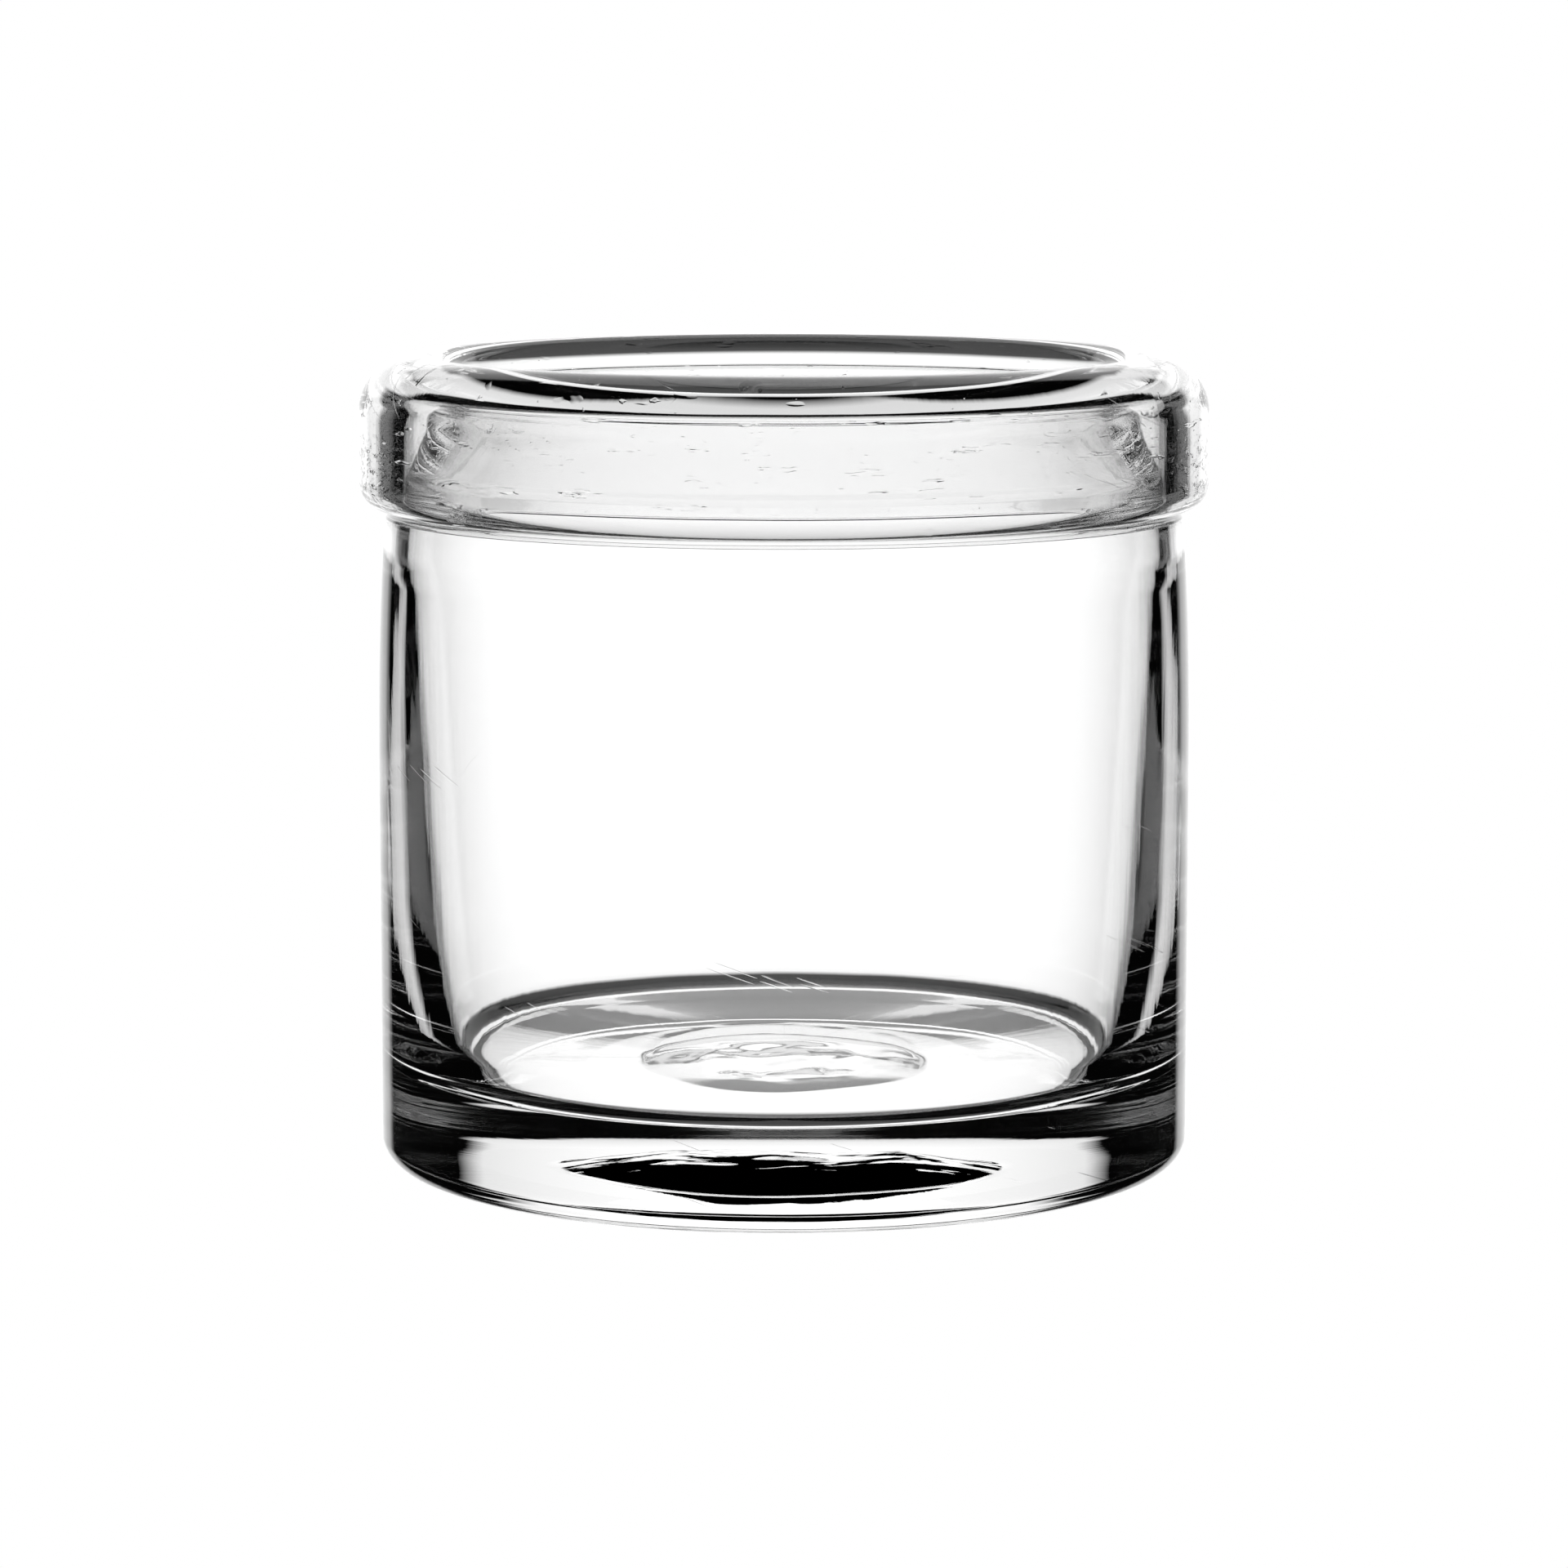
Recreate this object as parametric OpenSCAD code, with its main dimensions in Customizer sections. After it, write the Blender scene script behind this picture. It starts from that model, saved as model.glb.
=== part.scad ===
/* [Overall] */
// Radius of the collar, the widest part of the dish
collar_r = 30; // [29.5:0.1:31]
// Height from the resting face to the crest of the rim
height = 57.3; // [57:0.1:59]

/* [Body] */
// Outside radius of the straight lower body
body_r = 28.8; // [28.5:0.1:29]
// Outside radius of the body just below the collar
shoulder_r = 28.2; // [28:0.05:28.4]
// Rounding of the bottom edge
base_edge = 1.9; // [1.2:0.1:2.4]
// Depth of the shallow dimple under the base
dimple = 0.25; // [0.1:0.05:0.5]
// Radius of the hollow the pontil left in the middle of the base
hollow_r = 10.5; // [9:0.5:12]
// Depth of that hollow
hollow = 1.2; // [0.6:0.1:1.6]
// Height of the floor above the resting face, at its centre
base_t = 6; // [5:0.1:7]
// Inside radius where the wall meets the floor
floor_r = 23.6; // [23:0.1:24]
// Rounding between the floor and the wall
floor_fillet = 2.2; // [1:0.1:3]
// Inside radius at half height
wall_r = 25.6; // [25.4:0.05:25.8]

/* [Rim] */
// Radius of the mouth at the inward lip, before its edge is rounded
mouth_r = 22.4; // [22:0.1:22.8]
// Rounding of the inward lip
lip_round = 1.2; // [0.8:0.1:1.6]
// Drop from the crest to the inward lip
lip_drop = 3.5; // [3:0.1:4]
// Rounding of the crest's outer edge
crest_round = 4; // [3:0.1:4]
// Radius at which the collar is fused to the dish above the air ring
seam_r = 25.6; // [25.4:0.05:25.8]

/* [Collar] */
// Height of the collar's lower edge
collar_z = 46.6; // [46:0.1:47]
// Rounding of the collar's lower outer edge
hem_round = 1.8; // [1.2:0.1:2]
// Inside radius of the skirt, the outer wall of the air ring
skirt_r = 26.9; // [26.85:0.05:27]
// Height of the fused ring between the lower edge and the air ring
hem_t = 0.5; // [0.3:0.1:1]
// Drop from the crest to the air ring, at the skirt
pocket_drop = 3.1; // [2.9:0.1:3.5]
// Smallest radius of the air ring, where it reaches in over the mouth's lip
pocket_r = 23.7; // [23.6:0.1:24]

/* [Hidden] */
$fn = 120;

// Angle between neighbouring points of a rounded corner
arc_step = 9;
// Radius at which the crest turns down into the mouth, and its rounding
crest_r = mouth_r + 1.7;
crest_inner_round = 1.7;
// Curve of the body in to the shoulder: half its length, and its radius
shoulder_run = 7;
shoulder_round = 0.93 * shoulder_run / tan(atan((body_r - shoulder_r) / shoulder_run) / 2);
// Narrowing of the inside wall where it passes the collar's lower edge
throat = [skirt_r - 1.5, collar_z + 2.6];
neck = [skirt_r - 0.8, collar_z + 0.7];
neck_round = 2.3;
// Inside of the wall below the collar, at half height and near the floor
wall_top = [skirt_r - 0.2, collar_z - 2.1];
wall_mid = [wall_r, height * 0.425];
wall_foot = [wall_r - 0.55, height * 0.27];
wall_top_round = 11;
wall_mid_round = 150;
wall_foot_round = 60;
// Slight rise of the floor from its centre to the wall
floor_rise = 0.6;
// Air ring: its foot on the fused hem, the neck beside it and its sloping ceiling
pocket_foot = [skirt_r - 0.18, collar_z + hem_t];
pocket_neck = [skirt_r - 0.16, collar_z + 2.6];
pocket_skirt = [skirt_r - 0.08, height - pocket_drop];
pocket_top = [pocket_r, height - pocket_drop + 1.2];
ceiling_z = pocket_top[1] + (pocket_skirt[1] - pocket_top[1])
    * (seam_r - pocket_top[0]) / (pocket_skirt[0] - pocket_top[0]);

function unit(v) = v / norm(v);

// Points of the arc of radius f that rounds the corner b between a and c
function fillet_points(a, b, c, f) =
    let (
        u = unit(a - b),
        v = unit(c - b),
        corner = acos(u * v),
        centre = b + unit(u + v) * f / sin(corner / 2),
        from = b + u * f / tan(corner / 2) - centre,
        turn = sign(u[0] * from[1] - u[1] * from[0]) * (180 - corner),
        steps = max(2, ceil((180 - corner) / arc_step))
    )
    [for (i = [0 : steps])
        let (t = turn * i / steps)
        centre + [from[0] * cos(t) - from[1] * sin(t), from[0] * sin(t) + from[1] * cos(t)]];

// Outline through corners [[r, z], rounding], every corner rounded by its own radius
function outline(corners) = [
    for (i = [0 : len(corners) - 1])
        let (
            n = len(corners),
            here = corners[i][0],
            before = corners[(i + n - 1) % n][0],
            after = corners[(i + 1) % n][0],
            f = corners[i][1]
        )
        each (f > 0 ? fillet_points(before, here, after, f) : [here])
];

module turned(corners) {
    rotate_extrude()
        polygon(outline(corners));
}

// Body, thick base, neck and the inner half of the rim, in one blown piece
module dish() {
    color([0.92, 0.95, 0.95, 0.4])
        turned([
            [[0, dimple + hollow], 0],
            [[hollow_r * 0.45, dimple + hollow], 8],
            [[hollow_r, dimple], 3],
            [[body_r * 0.6, dimple], 12],
            [[body_r * 0.85, 0], 6],
            [[body_r, 0], base_edge],
            [[body_r, collar_z - shoulder_run], shoulder_round],
            [[shoulder_r, collar_z], 0],
            [[pocket_foot[0], collar_z], 0],
            [pocket_foot, 0],
            [pocket_neck, 1.7],
            [pocket_top, 0.6],
            [[seam_r, ceiling_z], 0],
            [[seam_r, height], 0],
            [[crest_r, height], crest_inner_round],
            [[mouth_r, height - lip_drop], lip_round],
            [throat, neck_round],
            [neck, neck_round],
            [wall_top, wall_top_round],
            [wall_mid, wall_mid_round],
            [wall_foot, wall_foot_round],
            [[floor_r, base_t + floor_rise], floor_fillet],
            [[floor_r * 0.4, base_t], 30],
            [[0, base_t], 0]
        ]);
}

// Folded-over collar: the outer half of the rim, the skirt outside the neck and the fused hem
module collar() {
    color([0.90, 0.94, 0.95, 0.4])
        turned([
            [[seam_r, height], 0],
            [[seam_r, ceiling_z], 0],
            [pocket_skirt, 1],
            [[skirt_r, pocket_foot[1] + 0.35], 0.15],
            [pocket_foot, 0],
            [[pocket_foot[0], collar_z], 0],
            [[collar_r, collar_z], hem_round],
            [[collar_r, height], crest_round]
        ]);
}

dish();
collar();
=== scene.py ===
"""Dappen dish: a straight-sided vessel of thick clear glass with a heavy collar.

The collar is the rim, folded over outside the neck and fused to it above and below a sealed ring of air.
Lengths in the section are in millimetres; they become metres where a point is written to a mesh.
"""

import math

import bpy
import numpy as np
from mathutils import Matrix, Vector, noise


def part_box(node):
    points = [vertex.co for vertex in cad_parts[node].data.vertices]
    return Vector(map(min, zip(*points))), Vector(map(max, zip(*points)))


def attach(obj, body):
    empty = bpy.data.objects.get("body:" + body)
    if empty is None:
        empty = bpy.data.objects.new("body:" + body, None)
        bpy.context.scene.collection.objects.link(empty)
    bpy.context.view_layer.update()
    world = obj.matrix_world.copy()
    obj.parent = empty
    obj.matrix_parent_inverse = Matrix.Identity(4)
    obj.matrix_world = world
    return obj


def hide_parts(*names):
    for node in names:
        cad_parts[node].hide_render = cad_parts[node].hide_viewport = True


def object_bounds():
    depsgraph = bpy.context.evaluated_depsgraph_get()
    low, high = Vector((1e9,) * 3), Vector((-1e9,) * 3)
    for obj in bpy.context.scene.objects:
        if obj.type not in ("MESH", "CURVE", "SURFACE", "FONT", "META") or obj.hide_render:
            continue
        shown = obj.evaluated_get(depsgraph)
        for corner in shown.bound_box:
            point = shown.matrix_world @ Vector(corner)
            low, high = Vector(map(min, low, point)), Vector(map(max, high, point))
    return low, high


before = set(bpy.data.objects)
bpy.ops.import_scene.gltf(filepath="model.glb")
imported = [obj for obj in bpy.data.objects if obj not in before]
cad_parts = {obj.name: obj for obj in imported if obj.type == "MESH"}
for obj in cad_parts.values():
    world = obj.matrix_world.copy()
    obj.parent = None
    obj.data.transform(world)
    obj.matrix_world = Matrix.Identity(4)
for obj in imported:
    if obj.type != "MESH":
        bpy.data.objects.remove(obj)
cad_low, cad_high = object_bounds()

MM = 0.001
collar_low, collar_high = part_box("collar")
dish_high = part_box("dish")[1]
CREST = dish_high.z / MM
BODY_R = dish_high.x / MM
COLLAR_R = collar_high.x / MM
HEM = collar_low.z / MM

# Rim: the lip at the mouth, the crest, the throat below it and the collar's hem
MOUTH_R = 22.4
LIP_DROP = 3.5
LIP_ROUND = 1.25
CREST_R = MOUTH_R + 1.7
CREST_INNER_ROUND = 1.7
CREST_ROUND = 4.0
THROAT_R, THROAT_Z = 25.42, 49.2
NECK_R, NECK_Z = 26.13, 47.25
THROAT_ROUND = 2.3
HEM_ROUND = 1.8

# Inside of the wall: an even taper that draws in faster and faster below its foot
WALL_TOP_R, WALL_TOP_Z = 26.66, 43.4
WALL_TOP_ROUND = 16
WALL_TAPER = 0.054
WALL_FOOT_Z = 22
WALL_FOOT_DRAW = 0.00022
BORE_FROM, BORE_TO, BORE_STEP = 41, 8.6, 1.35

# Outside of the body: straight up to the waist, then drawn in towards the hem
WAIST_Z = 24
SHOULDER_DRAW = 0.66
FLANK_POINTS = 20

# Floor above and base below
FLOOR_R, FLOOR_Z = 23.65, 6.0
FLOOR_RISE = 0.64
FLOOR_ROUND = 2.2
FLOOR_FLAT_R, FLOOR_FLAT_ROUND = FLOOR_R * 0.4, 3.5
BASE_ROUND = 1.9
DIMPLE_R, DIMPLE_DEPTH, DIMPLE_ROUND = 24.5, 0.25, 6
DIMPLE_FLAT_R, DIMPLE_FLAT_ROUND = DIMPLE_R * 0.6, 12

# Scar of the pontil in the middle of the base, and the faint ring above it on the floor
SCAR_R, SCAR_DEPTH, SCAR_SLOPE = 10.5, 1.5, 4.5
SCAR_WANDER = 0.12
SCAR_SAG = 0.25
SCAR_LUMPS = 0.3
RING_AT, RING_WIDTH, RING_HEIGHT = 0.93, 0.55, 0.035

# Sealed ring of air between neck and skirt
POCKET_FOOT_R, POCKET_FOOT_Z = 26.72, 47.1
POCKET_NECK_R, POCKET_NECK_Z, POCKET_NECK_ROUND = 26.74, 49.2, 1.7
POCKET_TOP_R, POCKET_TOP_Z, POCKET_TOP_ROUND = 23.7, 55.4, 0.6
POCKET_SKIRT_R, POCKET_SKIRT_Z, POCKET_SKIRT_ROUND = 26.82, 54.2, 1
SKIRT_R, SKIRT_FOOT_RISE, SKIRT_FOOT_ROUND = 26.89, 0.33, 0.15

# Radius at which the two layers are fused above the air ring, and the height of the ring's ceiling there
SEAM_R = 25.6
CEILING_RUN = SEAM_R - POCKET_TOP_R
CEILING_Z = POCKET_TOP_Z + (POCKET_SKIRT_Z - POCKET_TOP_Z) * CEILING_RUN / (POCKET_SKIRT_R - POCKET_TOP_R)

# Ripples of hand-worked glass, along the surface's normal
RIM_RIPPLE = 0.01
THROAT_RIPPLE = 0.008
COLLAR_RIPPLE = 0.006
WALL_TOP_RIPPLE = 0.005
BODY_RIPPLE = 0.004
POCKET_RIPPLE = 0.015
POCKET_RUN = 300

# How finely the surfaces are cut
ROUND_STEPS = 512
ARC_STEP = math.radians(5)
LINE_STEP = 0.7
BASE_STEP = 0.35
SAME_POINT = 1e-6


# ---------------------------------------------------------------- section
def rounded(corners):
    """Points along a line of corners (radius, height, rounding, ripple), each corner swept by an arc."""
    points = []
    for i, (r, z, rounding, amount) in enumerate(corners):
        if i in (0, len(corners) - 1) or rounding <= 0:
            points.append((r, z, amount))
            continue
        corner = np.array([r, z])
        back = np.array(corners[i - 1][:2]) - corner
        ahead = np.array(corners[i + 1][:2]) - corner
        back, ahead = back / np.linalg.norm(back), ahead / np.linalg.norm(ahead)
        opening = math.acos(float(np.clip(back @ ahead, -1, 1)))
        middle = (back + ahead) / np.linalg.norm(back + ahead)
        centre = corner + middle * rounding / math.sin(opening / 2)
        tangent = rounding / math.tan(opening / 2)
        start = corner + back * tangent - centre
        end = corner + ahead * tangent - centre
        turn = math.atan2(start[0] * end[1] - start[1] * end[0], start @ end)
        steps = max(2, round(abs(turn) / ARC_STEP))
        for k in range(steps + 1):
            c, s = math.cos(turn * k / steps), math.sin(turn * k / steps)
            x = centre[0] + start[0] * c - start[1] * s
            y = centre[1] + start[0] * s + start[1] * c
            points.append((x, y, amount))
    return points


def even(points):
    """The same line with its long stretches cut, so that ripples and the base's marks have points to move."""
    out = [points[0]]
    for a, b in zip(points, points[1:]):
        length = math.dist(a[:2], b[:2])
        if length < SAME_POINT:
            continue
        on_base = max(a[0], b[0]) < DIMPLE_R and max(a[1], b[1]) < FLOOR_Z + FLOOR_RISE
        cuts = max(1, math.ceil(length / (BASE_STEP if on_base else LINE_STEP)))
        out += [tuple(np.array(a) + (np.array(b) - np.array(a)) * k / cuts) for k in range(1, cuts + 1)]
    return out


def bore(z):
    """Inside radius of the wall."""
    draw = WALL_FOOT_DRAW * max(0, WALL_FOOT_Z - z) ** 3
    return WALL_TOP_R - WALL_TAPER * (WALL_TOP_Z - z) - draw


def flank(z):
    """Outside radius of the body."""
    return BODY_R - SHOULDER_DRAW * (max(0, z - WAIST_Z) / (HEM - WAIST_Z)) ** 3


# The skin and the air pocket are closed loops, each made of one line on the dish and one on the collar
DISH_SKIN = [
    (SEAM_R, CREST, 0, RIM_RIPPLE),
    (CREST_R, CREST, CREST_INNER_ROUND, RIM_RIPPLE),
    (MOUTH_R, CREST - LIP_DROP, LIP_ROUND, RIM_RIPPLE),
    (THROAT_R, THROAT_Z, THROAT_ROUND, THROAT_RIPPLE),
    (NECK_R, NECK_Z, THROAT_ROUND, COLLAR_RIPPLE),
    (WALL_TOP_R, WALL_TOP_Z, WALL_TOP_ROUND, WALL_TOP_RIPPLE),
    *[(bore(z), z, 0, BODY_RIPPLE) for z in np.arange(BORE_FROM, BORE_TO, -BORE_STEP)],
    (FLOOR_R, FLOOR_Z + FLOOR_RISE, FLOOR_ROUND, COLLAR_RIPPLE),
    (FLOOR_FLAT_R, FLOOR_Z, FLOOR_FLAT_ROUND, 0),
    (0, FLOOR_Z, 0, 0),
    (0, DIMPLE_DEPTH, 0, 0),
    (DIMPLE_FLAT_R, DIMPLE_DEPTH, DIMPLE_FLAT_ROUND, 0),
    (DIMPLE_R, 0, DIMPLE_ROUND, 0),
    (BODY_R, 0, BASE_ROUND, 0),
    *[(flank(z), z, 0, BODY_RIPPLE) for z in np.linspace(WAIST_Z - 1, HEM, FLANK_POINTS)],
]
COLLAR_SKIN = [
    (flank(HEM), HEM, 0, BODY_RIPPLE),
    (COLLAR_R, HEM, HEM_ROUND, COLLAR_RIPPLE),
    (COLLAR_R, CREST, CREST_ROUND, COLLAR_RIPPLE),
    (SEAM_R, CREST, 0, RIM_RIPPLE),
]
DISH_POCKET = [
    (POCKET_FOOT_R, POCKET_FOOT_Z, 0, 0),
    (POCKET_NECK_R, POCKET_NECK_Z, POCKET_NECK_ROUND, COLLAR_RIPPLE),
    (POCKET_TOP_R, POCKET_TOP_Z, POCKET_TOP_ROUND, POCKET_RIPPLE),
    (SEAM_R, CEILING_Z, 0, POCKET_RIPPLE),
]
COLLAR_POCKET = [
    (SEAM_R, CEILING_Z, 0, POCKET_RIPPLE),
    (POCKET_SKIRT_R, POCKET_SKIRT_Z, POCKET_SKIRT_ROUND, POCKET_RIPPLE),
    (SKIRT_R, POCKET_FOOT_Z + SKIRT_FOOT_RISE, SKIRT_FOOT_ROUND, COLLAR_RIPPLE),
    (POCKET_FOOT_R, POCKET_FOOT_Z, 0, 0),
]


def ripple(angle, run):
    """A smooth hand-made unevenness of about -1 to 1, by angle and by distance run along the section."""

    def wave(around, along, start):
        return noise.noise(Vector((around * math.cos(angle), around * math.sin(angle), start + run * along)))

    return 1.4 * wave(around=2.2, along=0.09, start=0) + 0.5 * wave(around=7, along=0.33, start=40)


def base_marks(x, y, z):
    """Height added to the base: the rough hollow of the scar below, a faint ring on the floor above."""
    r, angle = math.hypot(x, y), math.atan2(y, x)
    if r > DIMPLE_FLAT_R or z > FLOOR_Z + 0.5:
        return 0
    wander = noise.noise(Vector((1.1 * math.cos(angle), 1.1 * math.sin(angle), 7)))
    edge = SCAR_R * (1 + SCAR_WANDER * wander)
    if z > DIMPLE_DEPTH + 0.01:
        ring = math.exp(-(((r - edge * RING_AT) / RING_WIDTH) ** 2))
        return RING_HEIGHT * ring * (0.6 + noise.noise(Vector((x * 0.3, y * 0.3, 3))))
    if r > edge:
        return 0
    lumps = noise.noise(Vector((x * 0.25, y * 0.25, 11))) + 0.1 * noise.noise(Vector((x * 0.8, y * 0.8, 5)))
    rise = min(1, (edge - r) / SCAR_SLOPE)
    return SCAR_DEPTH * rise * (1 - SCAR_SAG * rise + SCAR_LUMPS * rise * lumps)


# ---------------------------------------------------------------- meshes
def swept(points, start_run):
    """The section's points swept round the axis, in metres, each moved along its normal by its ripple."""
    line = np.array(points)
    run = start_run + np.concatenate([[0], np.cumsum(np.hypot(*np.diff(line[:, :2], axis=0).T))])
    slope = np.gradient(line[:, :2], axis=0)
    normal = np.stack([slope[:, 1], -slope[:, 0]], axis=1)
    normal /= np.maximum(np.hypot(*normal.T), 1e-9)[:, None]
    rings = []
    for (r, z, amount), (nr, nz), s in zip(points, normal, run):
        if r < SAME_POINT:
            rings.append([(0, 0, (z + base_marks(0, 0, z)) * MM)])
            continue
        ring = []
        for k in range(ROUND_STEPS):
            angle = 2 * math.pi * k / ROUND_STEPS
            shift = amount * ripple(angle, s) if amount else 0
            radius, height = r + nr * shift, z + nz * shift
            x, y = radius * math.cos(angle), radius * math.sin(angle)
            ring.append((x * MM, y * MM, (height + base_marks(x, y, z)) * MM))
        rings.append(ring)
    return rings


def numbered(rings):
    """Vertex numbers of each ring, and all the vertices in one list."""
    vertices, numbers = [], []
    for ring in rings:
        numbers.append(list(range(len(vertices), len(vertices) + len(ring))))
        vertices += ring
    return numbers, vertices


def strip(first, second):
    """Faces between two rings of vertex numbers; a ring of one vertex is a point on the axis."""
    if len(first) == len(second) == 1:
        return []
    faces = []
    for k in range(ROUND_STEPS):
        n = (k + 1) % ROUND_STEPS
        if len(first) == 1:
            faces.append((first[0], second[n], second[k]))
        elif len(second) == 1:
            faces.append((first[k], first[n], second[0]))
        else:
            faces.append((first[k], first[n], second[n], second[k]))
    return faces


def closed_loop(first, second, start_run):
    """Rings and smooth normals along each of two lines that meet at both ends."""
    first, second = even(rounded(first)), even(rounded(second))
    rings = swept(first + second[1:], start_run)
    rings[-1] = rings[0]
    numbers, vertices = numbered(rings[:-1])
    faces = []
    for here, there in zip(numbers, numbers[1:] + numbers[:1]):
        faces += strip(here, there)
    mesh = bpy.data.meshes.new("loop")
    mesh.from_pydata(vertices, [], faces)
    normals = [[tuple(mesh.vertices[i].normal) for i in ring] for ring in numbers]
    normals += normals[:1]
    bpy.data.meshes.remove(mesh)
    meeting = len(first) - 1
    return (rings[: meeting + 1], normals[: meeting + 1]), (rings[meeting:], normals[meeting:])


def layer(name, skin, pocket, glass, seam):
    """One closed piece of glass: its outer skin and its side of the air pocket, joined by two buried seams.
    The normals are the whole vessel's, so no line shows where the two layers are fused."""
    rings, normals = skin[0] + pocket[0], skin[1] + pocket[1]
    numbers, vertices = numbered(rings)
    seams = (len(skin[0]) - 1, len(rings) - 1)
    faces, buried = [], []
    for i, (here, there) in enumerate(zip(numbers, numbers[1:] + numbers[:1])):
        made = strip(here, there)
        faces += made
        buried += [i in seams] * len(made)
    mesh = bpy.data.meshes.new(name)
    mesh.from_pydata(vertices, [], faces)
    mesh.materials.append(glass)
    mesh.materials.append(seam)
    smooth = [normal for ring in normals for normal in ring]
    custom = []
    for face, hidden in zip(mesh.polygons, buried):
        face.use_smooth = True
        face.material_index = int(hidden)
        own = tuple(face.normal)
        custom += [own if hidden else smooth[i] for i in face.vertices]
    mesh.normals_split_custom_set(custom)
    piece = bpy.data.objects.new(name, mesh)
    bpy.context.scene.collection.objects.link(piece)
    return piece


# ---------------------------------------------------------------- materials
def node(tree, kind, **settings):
    """A new shader node of a kind, with its settings."""
    made = tree.nodes.new("ShaderNode" + kind)
    for key, value in settings.items():
        setattr(made, key, value)
    return made


def feed(tree, sockets, values):
    """Give each socket a plain number or another node's output; None leaves it alone."""
    for socket, value in zip(sockets, values):
        if isinstance(value, (int, float)):
            socket.default_value = value
        elif value is not None:
            tree.links.new(value, socket)


def math_node(tree, operation, a, b=None, clamp=False):
    """The output of a maths node on sockets or plain numbers."""
    made = node(tree, "Math", operation=operation, use_clamp=clamp)
    feed(tree, made.inputs, (a, b))
    return made.outputs[0]


# Heights of the marks in the glass, in millimetres, and the roughness of tool marks and scratches
RIM_CREASE = 0.014
TOOL_MARK = 0.018
DRAWN_STREAK = 0.003
SCRATCH = 0.003
WORN = 0.03


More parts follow.
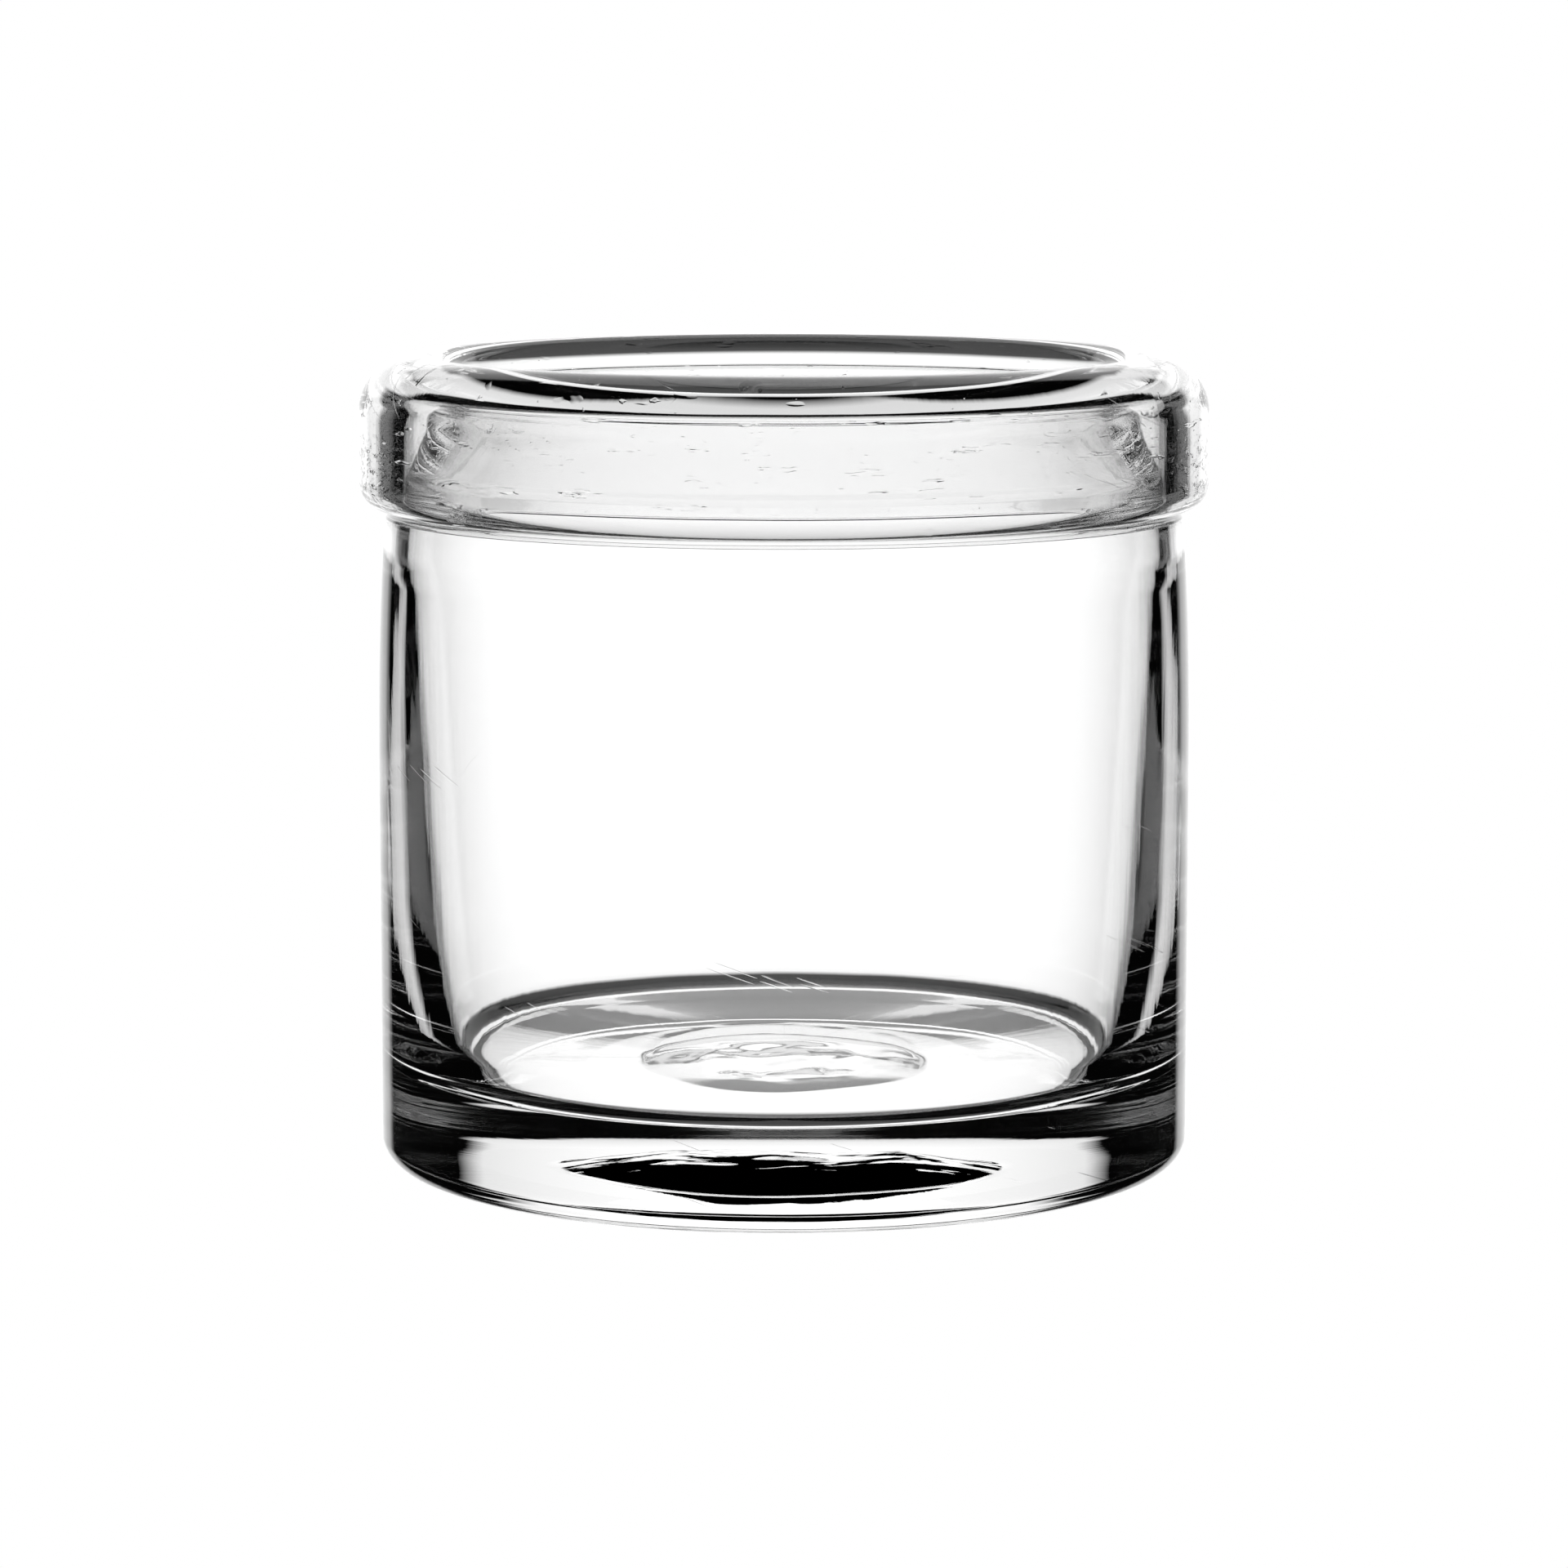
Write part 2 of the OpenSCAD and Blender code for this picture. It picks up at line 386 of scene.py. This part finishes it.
def clear_glass():
    """Clear soda-lime glass. Its polish is broken by the marks of hand work: creases and flecks in the
    folded rim, short tool marks on the collar, long drawn streaks in the body, fine handling scratches.
    The pontil scar carries painted shade: it is painted black where it is met at a low angle."""
    material = bpy.data.materials.new("clear_glass")
    material.use_nodes = True
    tree = material.node_tree
    surface = tree.nodes["Principled BSDF"]
    surface.inputs["Base Color"].default_value = (1, 1, 1, 1)
    surface.inputs["Transmission Weight"].default_value = 1
    surface.inputs["IOR"].default_value = 1.5

    def calc(operation, a, b=None, clamp=False):
        return math_node(tree, operation, a, b, clamp)

    def times(product, *factors):
        for factor in factors:
            product = calc("MULTIPLY", product, factor)
        return product

    def over(value, edge, width):
        """0 where value is under edge, rising to 1 over the width."""
        return calc("DIVIDE", calc("SUBTRACT", value, edge), width, clamp=True)

    def under(value, edge, width):
        """0 where value is over edge, rising to 1 as it falls by the width."""
        return calc("DIVIDE", calc("SUBTRACT", edge, value), width, clamp=True)

    def grain(across, up, depth, detail):
        """Noise of about 0 to 1 at a place given in its own grain sizes."""
        place = node(tree, "CombineXYZ")
        feed(tree, place.inputs, (across, up, depth))
        made = node(tree, "TexNoise")
        made.inputs["Scale"].default_value = 1
        made.inputs["Detail"].default_value = detail
        tree.links.new(place.outputs[0], made.inputs["Vector"])
        return made.outputs["Fac"]

    place = node(tree, "SeparateXYZ")
    tree.links.new(node(tree, "TexCoord").outputs["Object"], place.inputs[0])
    x, y, z = (calc("DIVIDE", out, MM) for out in place.outputs)
    r = calc("SQRT", calc("ADD", times(x, x), times(y, y)))
    around = times(calc("ARCTAN2", x, times(y, -1)), COLLAR_R)

    def marks(across, up, depth, detail, edge, width):
        """Spots where noise of so many grains per millimetre across and up passes an edge."""
        return over(grain(times(around, across), times(z, up), depth, detail), edge, width)

    # Creases in the folded rim, inwards of the skirt, and flecks near the top of the air ring
    in_rim = times(over(z, POCKET_FOOT_Z, 0.8), under(r, SKIRT_R + 0.3, 0.2))
    creases = marks(across=0.22, up=1.5, depth=r, detail=2, edge=0.66, width=0.08)
    flecks = marks(across=0.7, up=3.5, depth=20, detail=2, edge=0.7, width=0.04)
    near_top = over(z, POCKET_FOOT_Z + 3.4, 1.2)
    rim = times(in_rim, calc("ADD", creases, times(flecks, near_top)))

    # Marks of the tool that closed the hem, on the collar's lower part at its left and right
    on_collar = times(over(r, COLLAR_R - 1.2, 0.4), over(z, HEM + 0.3, 0.6))
    lower = under(z, HEM + 6, 2)
    beside = over(calc("ABSOLUTE", x), COLLAR_R * 0.93, 2)
    chill = marks(across=0.6, up=2.2, depth=40, detail=3, edge=0.56, width=0.1)
    tools = times(on_collar, lower, beside, chill)

    # Streaks drawn up the body, and slanting scratches
    drawn = grain(times(around, 0.9), times(z, 0.05), 60, detail=2)
    slant = calc("ADD", around, times(z, 3.1))
    scratch = over(grain(slant, times(z, 0.25), 80, detail=1), 0.76, 0.02)

    height = calc("ADD", times(rim, RIM_CREASE), times(tools, TOOL_MARK))
    height = calc("ADD", height, times(drawn, DRAWN_STREAK))
    height = calc("SUBTRACT", height, times(scratch, SCRATCH))
    bump = node(tree, "Bump")
    bump.inputs["Strength"].default_value = 1
    bump.inputs["Distance"].default_value = MM
    tree.links.new(height, bump.inputs["Height"])
    tree.links.new(bump.outputs[0], surface.inputs["Normal"])
    tree.links.new(times(calc("ADD", tools, scratch), WORN), surface.inputs["Roughness"])

    # Painted shade on the pontil scar: where a ray meets the hollow at a low angle, along the base, its
    # colour, transmission and specular fall to black, except in torn spots
    in_hollow = times(
        under(z, DIMPLE_DEPTH + SCAR_DEPTH * 1.3, 0.1),
        over(z, DIMPLE_DEPTH + 0.04, 0.04),
        under(r, DIMPLE_FLAT_R, 0.5),
    )
    meeting = node(tree, "SeparateXYZ")
    tree.links.new(node(tree, "NewGeometry").outputs["Incoming"], meeting.inputs[0])
    low = under(calc("ABSOLUTE", meeting.outputs[2]), 0.34, 0.1)
    cover = calc("SUBTRACT", grain(times(x, 0.3), times(y, 0.7), 120, detail=4), times(y, 0.035))
    clear = calc("SUBTRACT", 1, times(in_hollow, low, over(cover, 0.45, 0.04)))
    # Painted shade: the scar's darkening goes into the colour, the transmission and the specular level
    painted_scar_shade = node(tree, "CombineColor")
    feed(tree, painted_scar_shade.inputs, (clear, clear, clear))
    tree.links.new(painted_scar_shade.outputs[0], surface.inputs["Base Color"])
    tree.links.new(clear, surface.inputs["Transmission Weight"])
    tree.links.new(times(clear, 0.5), surface.inputs["Specular IOR Level"])
    return material


def fused_seam():
    """The buried face between the two layers: fused glass has no surface there, so it isn't seen."""
    material = bpy.data.materials.new("fused_seam")
    material.use_nodes = True
    surface = material.node_tree.nodes["Principled BSDF"]
    surface.inputs["Alpha"].default_value = 0
    return material


# ---------------------------------------------------------------- the vessel
dish_skin, collar_skin = closed_loop(DISH_SKIN, COLLAR_SKIN, 0)
dish_pocket, collar_pocket = closed_loop(DISH_POCKET, COLLAR_POCKET, POCKET_RUN)
glass, seam = clear_glass(), fused_seam()
for cad_node, skin, pocket in (("dish", dish_skin, dish_pocket), ("collar", collar_skin, collar_pocket)):
    piece = layer(cad_node + "_glass", skin, pocket, glass, seam)
    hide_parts(cad_node)
    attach(piece, "root")


# ---------------------------------------------------------------- studio
# Edges of the bright panel as seen from the glass, as angles beside and above the camera's axis
PANEL_HALF_WIDTH, PANEL_SIDE_SOFTNESS = math.radians(28), math.radians(3)
PANEL_TOP, PANEL_TOP_SOFTNESS = math.radians(68), math.radians(4)
PANEL_BOTTOM, PANEL_BOTTOM_SOFTNESS = math.radians(-26), math.radians(3)

# Between its waist and its shoulder the panel is wider by the spread on either side
PANEL_SPREAD = math.radians(12)
PANEL_WAIST, PANEL_WAIST_SOFTNESS = math.radians(15), math.radians(3)
PANEL_SHOULDER, PANEL_SHOULDER_SOFTNESS = math.radians(27), math.radians(4)

# Brightness of the panel, of the glow in its middle and of the dark room
PANEL_STRENGTH = 0.9
PANEL_GLOW, PANEL_GLOW_REACH = 0.68, math.radians(34)
ROOM_STRENGTH = 0.001


def bright_field():
    """One soft white panel behind the glass and black beyond it, fixed to the camera.
    The camera itself sees the backdrop white."""
    world = bpy.data.worlds.new("studio")
    bpy.context.scene.world = world
    world.use_nodes = True
    tree = world.node_tree
    tree.nodes.clear()

    def calc(operation, a, b=None, clamp=False):
        return math_node(tree, operation, a, b, clamp)

    def below(value, edge, softness):
        """1 where value is under edge, falling to 0 over the softness on either side, eased at the top."""
        ramp = calc("DIVIDE", calc("SUBTRACT", edge + softness, value), 2 * softness, clamp=True)
        return calc("SMOOTH_MIN", ramp, 1)

    ray = node(tree, "SeparateXYZ")
    tree.links.new(node(tree, "TexCoord").outputs["Camera"], ray.inputs[0])
    right, up, forward = ray.outputs
    sideways = calc("ARCTAN2", calc("ABSOLUTE", right), forward)
    lift = calc("ARCSINE", up)
    under_shoulder = below(lift, PANEL_SHOULDER, PANEL_SHOULDER_SOFTNESS)
    wide = calc("SUBTRACT", under_shoulder, below(lift, PANEL_WAIST, PANEL_WAIST_SOFTNESS))
    inward = calc("SUBTRACT", sideways, calc("MULTIPLY", wide, PANEL_SPREAD))
    between = below(inward, PANEL_HALF_WIDTH, PANEL_SIDE_SOFTNESS)
    panel = calc("MULTIPLY", between, below(lift, PANEL_TOP, PANEL_TOP_SOFTNESS))
    above = calc("SUBTRACT", 1, below(lift, PANEL_BOTTOM, PANEL_BOTTOM_SOFTNESS))
    panel = calc("MULTIPLY", panel, above)

    off_axis = calc("POWER", calc("DIVIDE", calc("ARCCOSINE", forward), PANEL_GLOW_REACH), 2)
    glow = calc("MULTIPLY", calc("EXPONENT", calc("MULTIPLY", off_axis, -1)), PANEL_GLOW)
    strength = calc("ADD", glow, PANEL_STRENGTH - ROOM_STRENGTH)
    light = calc("ADD", calc("MULTIPLY", panel, strength), ROOM_STRENGTH)
    direct = node(tree, "LightPath").outputs["Is Camera Ray"]
    shown = calc("ADD", calc("MULTIPLY", light, calc("SUBTRACT", 1, direct)), direct)
    background = node(tree, "Background")
    background.inputs["Color"].default_value = (1, 1, 1, 1)
    tree.links.new(shown, background.inputs["Strength"])
    tree.links.new(background.outputs[0], node(tree, "OutputWorld").inputs[0])


# Half the width of the paper under the dish, and how far it lies below the base, in metres
PAPER_REACH = 12 * cad_high.x
PAPER_DROP = 0.0001


def floor():
    """A pale floor that the camera sees as white paper; the glass sees the panel's light through it."""
    mesh = bpy.data.meshes.new("floor")
    corners = [
        (-PAPER_REACH, -PAPER_REACH),
        (PAPER_REACH, -PAPER_REACH),
        (PAPER_REACH, PAPER_REACH),
        (-PAPER_REACH, PAPER_REACH),
    ]
    mesh.from_pydata([(x, y, -PAPER_DROP) for x, y in corners], [], [(0, 1, 2, 3)])
    plane = bpy.data.objects.new("floor", mesh)
    bpy.context.scene.collection.objects.link(plane)
    material = bpy.data.materials.new("pale_paper")
    material.use_nodes = True
    tree = material.node_tree
    tree.nodes.clear()
    paper = node(tree, "Emission")
    paper.inputs["Color"].default_value = (1, 1, 1, 1)
    mix = node(tree, "MixShader")
    tree.links.new(node(tree, "LightPath").outputs["Is Camera Ray"], mix.inputs[0])
    tree.links.new(node(tree, "BsdfTransparent").outputs[0], mix.inputs[1])
    tree.links.new(paper.outputs[0], mix.inputs[2])
    tree.links.new(mix.outputs[0], node(tree, "OutputMaterial").inputs[0])
    mesh.materials.append(material)


# Camera, in metres and millimetres of lens: it looks at a point on the axis, dipped slightly below it
CAMERA_DISTANCE = 0.3888
CAMERA_ELEVATION = math.radians(7.69)
CAMERA_DIP = math.radians(0.185)
CAMERA_AIM = 0.4875 * cad_high.z
LENS, SENSOR = 125.3, 36
NEAREST = 0.001


def camera():
    """A long lens a little above the rim, aimed just under the middle of the vessel."""
    data = bpy.data.cameras.new("camera")
    made = bpy.data.objects.new("camera", data)
    bpy.context.scene.collection.objects.link(made)
    made.location = (
        0,
        -CAMERA_DISTANCE * math.cos(CAMERA_ELEVATION),
        CAMERA_AIM + CAMERA_DISTANCE * math.sin(CAMERA_ELEVATION),
    )
    made.rotation_euler = (math.pi / 2 - CAMERA_ELEVATION - CAMERA_DIP, 0, 0)
    data.sensor_width = SENSOR
    data.lens = LENS
    data.clip_start = NEAREST
    bpy.context.scene.camera = made


# A light path crosses many faces of the glass, and none of it is cut short
BOUNCES = 48

bright_field()
floor()
camera()
scene = bpy.context.scene
scene.view_settings.view_transform = "Standard"
scene.cycles.max_bounces = BOUNCES
scene.cycles.transmission_bounces = BOUNCES
scene.cycles.glossy_bounces = BOUNCES
scene.cycles.transparent_max_bounces = BOUNCES
scene.cycles.sample_clamp_indirect = 0
scene.cycles.blur_glossy = 0
